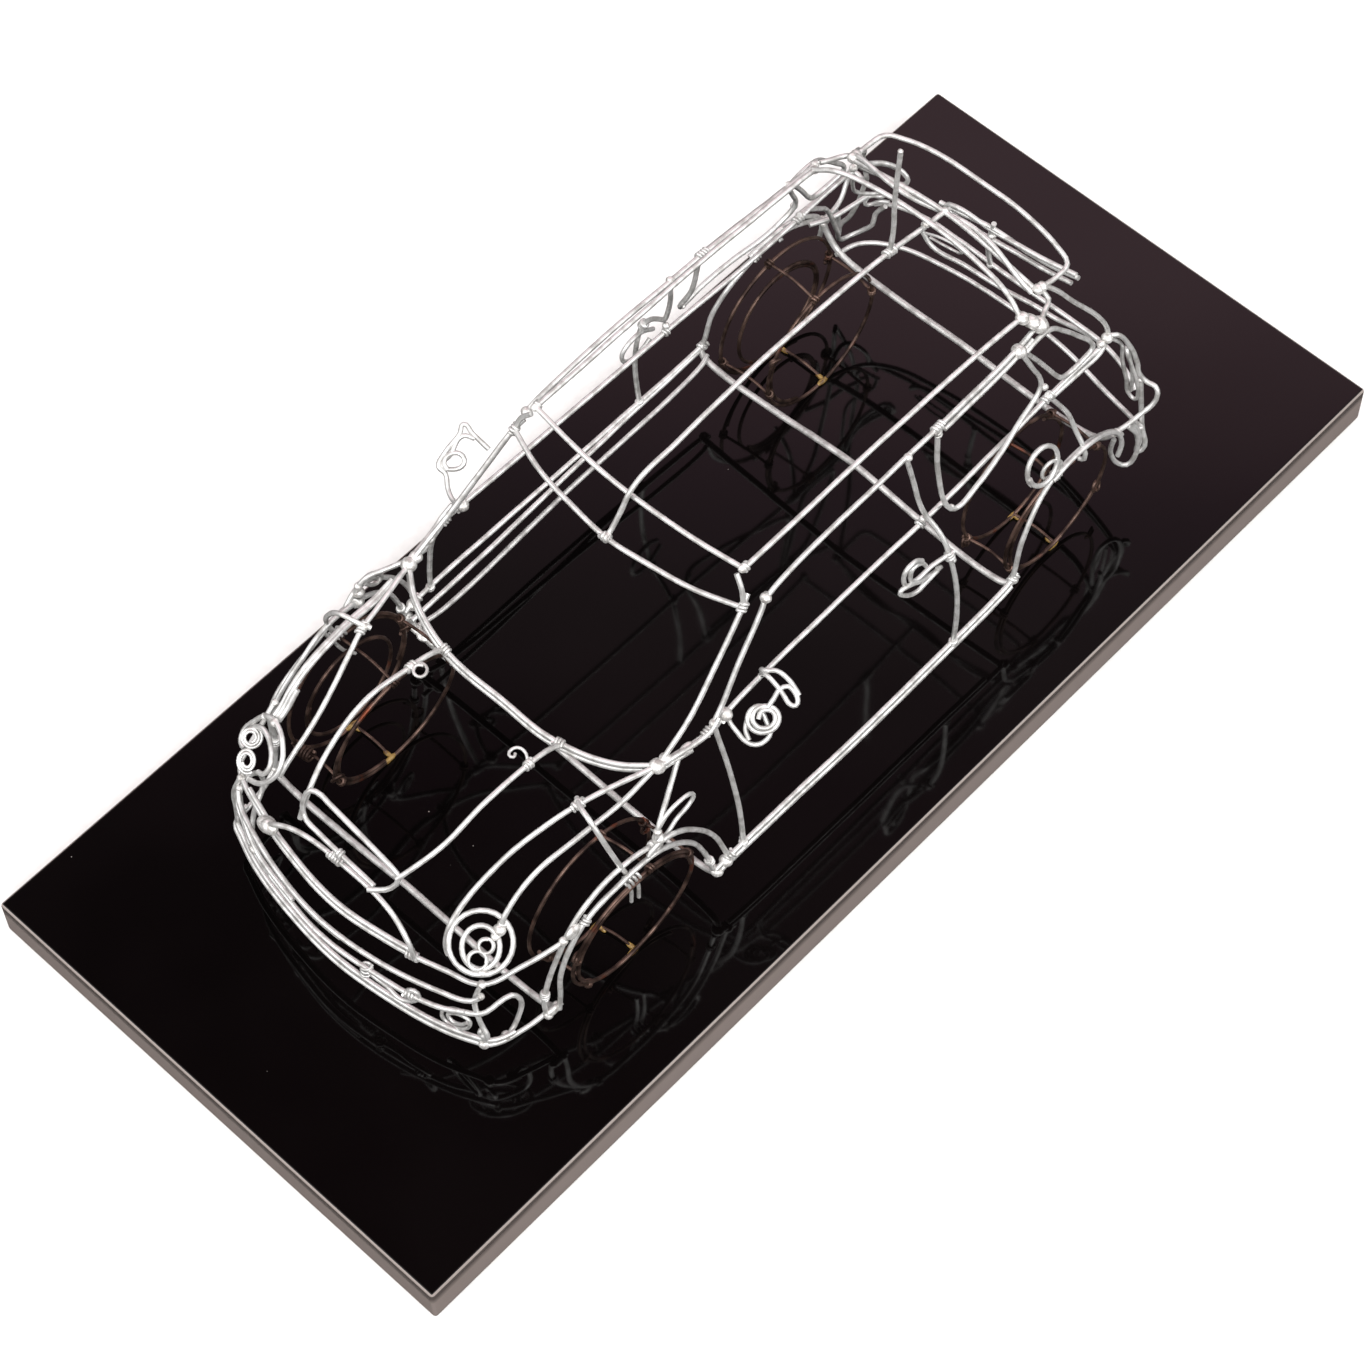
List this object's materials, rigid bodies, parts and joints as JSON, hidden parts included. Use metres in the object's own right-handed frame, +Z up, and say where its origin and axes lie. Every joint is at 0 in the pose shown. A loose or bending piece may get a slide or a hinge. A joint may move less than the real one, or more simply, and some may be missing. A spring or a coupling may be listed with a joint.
{
  "type": "wire car sculpture",
  "caption": "Open wire sculpture of a small hatchback car, bent from bright silver wire with thin brown wire wheels, standing on a glossy black rectangular board.",
  "frame": {"origin": "centre of the board's underside", "axes": "+Z up, -Y towards the car's nose, +X towards the car's left side"},
  "size_m": [0.151, 0.35, 0.148],
  "materials": {
    "board_lacquer": "gloss black lacquer on a flat board with grey-brown sides",
    "silver_wire": "bright tinned wire with grey streaks, wrapped and soldered joints",
    "brown_wire": "thin tarnished brown wire with rust spots and dried glue"
  },
  "bodies": {
    "root": {"wheel_front_left": "brown_wire", "wheel_rear_left": "brown_wire", "sill_left": "silver_wire", "bonnet_crease_left": "silver_wire", "bonnet_edge_left": "silver_wire", "headlamp_left": "silver_wire", "front_arch_left": "silver_wire", "windscreen_post_left": "silver_wire", "door_pillar_left": "silver_wire", "outer_rail_left": "silver_wire", "inner_rail_left": "silver_wire", "belt_left": "silver_wire", "tailgate_edge_left": "silver_wire", "door_front_left": "silver_wire", "door_rear_left": "silver_wire", "quarter_window_left": "silver_wire", "mirror_left": "silver_wire", "rear_arch_left": "silver_wire", "tail_lamp_left": "silver_wire", "wheel_front_right": "brown_wire", "wheel_rear_right": "brown_wire", "sill_right": "silver_wire", "bonnet_crease_right": "silver_wire", "bonnet_edge_right": "silver_wire", "headlamp_right": "silver_wire", "front_arch_right": "silver_wire", "windscreen_post_right": "silver_wire", "door_pillar_right": "silver_wire", "outer_rail_right": "silver_wire", "inner_rail_right": "silver_wire", "belt_right": "silver_wire", "tailgate_edge_right": "silver_wire", "door_front_right": "silver_wire", "door_rear_right": "silver_wire", "quarter_window_right": "silver_wire", "mirror_right": "silver_wire", "rear_arch_right": "silver_wire", "tail_lamp_right": "silver_wire", "floor_rail_right": "silver_wire", "floor_cross_front": "silver_wire", "floor_cross_cowl": "silver_wire", "floor_cross_rear": "silver_wire", "floor_cross_tail": "silver_wire", "bumper_lower": "silver_wire", "bumper_upper": "silver_wire", "bumper_middle": "silver_wire", "front_rail": "silver_wire", "bonnet_slot": "silver_wire", "cowl": "silver_wire", "header_lower": "silver_wire", "header_upper": "silver_wire", "roof_centre": "silver_wire", "roof_rear": "silver_wire", "tailgate_top": "silver_wire", "spoiler": "silver_wire", "bumper_rear_upper": "silver_wire", "bumper_rear_lower": "silver_wire", "plate_bar": "silver_wire", "filler_cap": "silver_wire", "base_plate": "board_lacquer"}
  },
  "joints": []
}
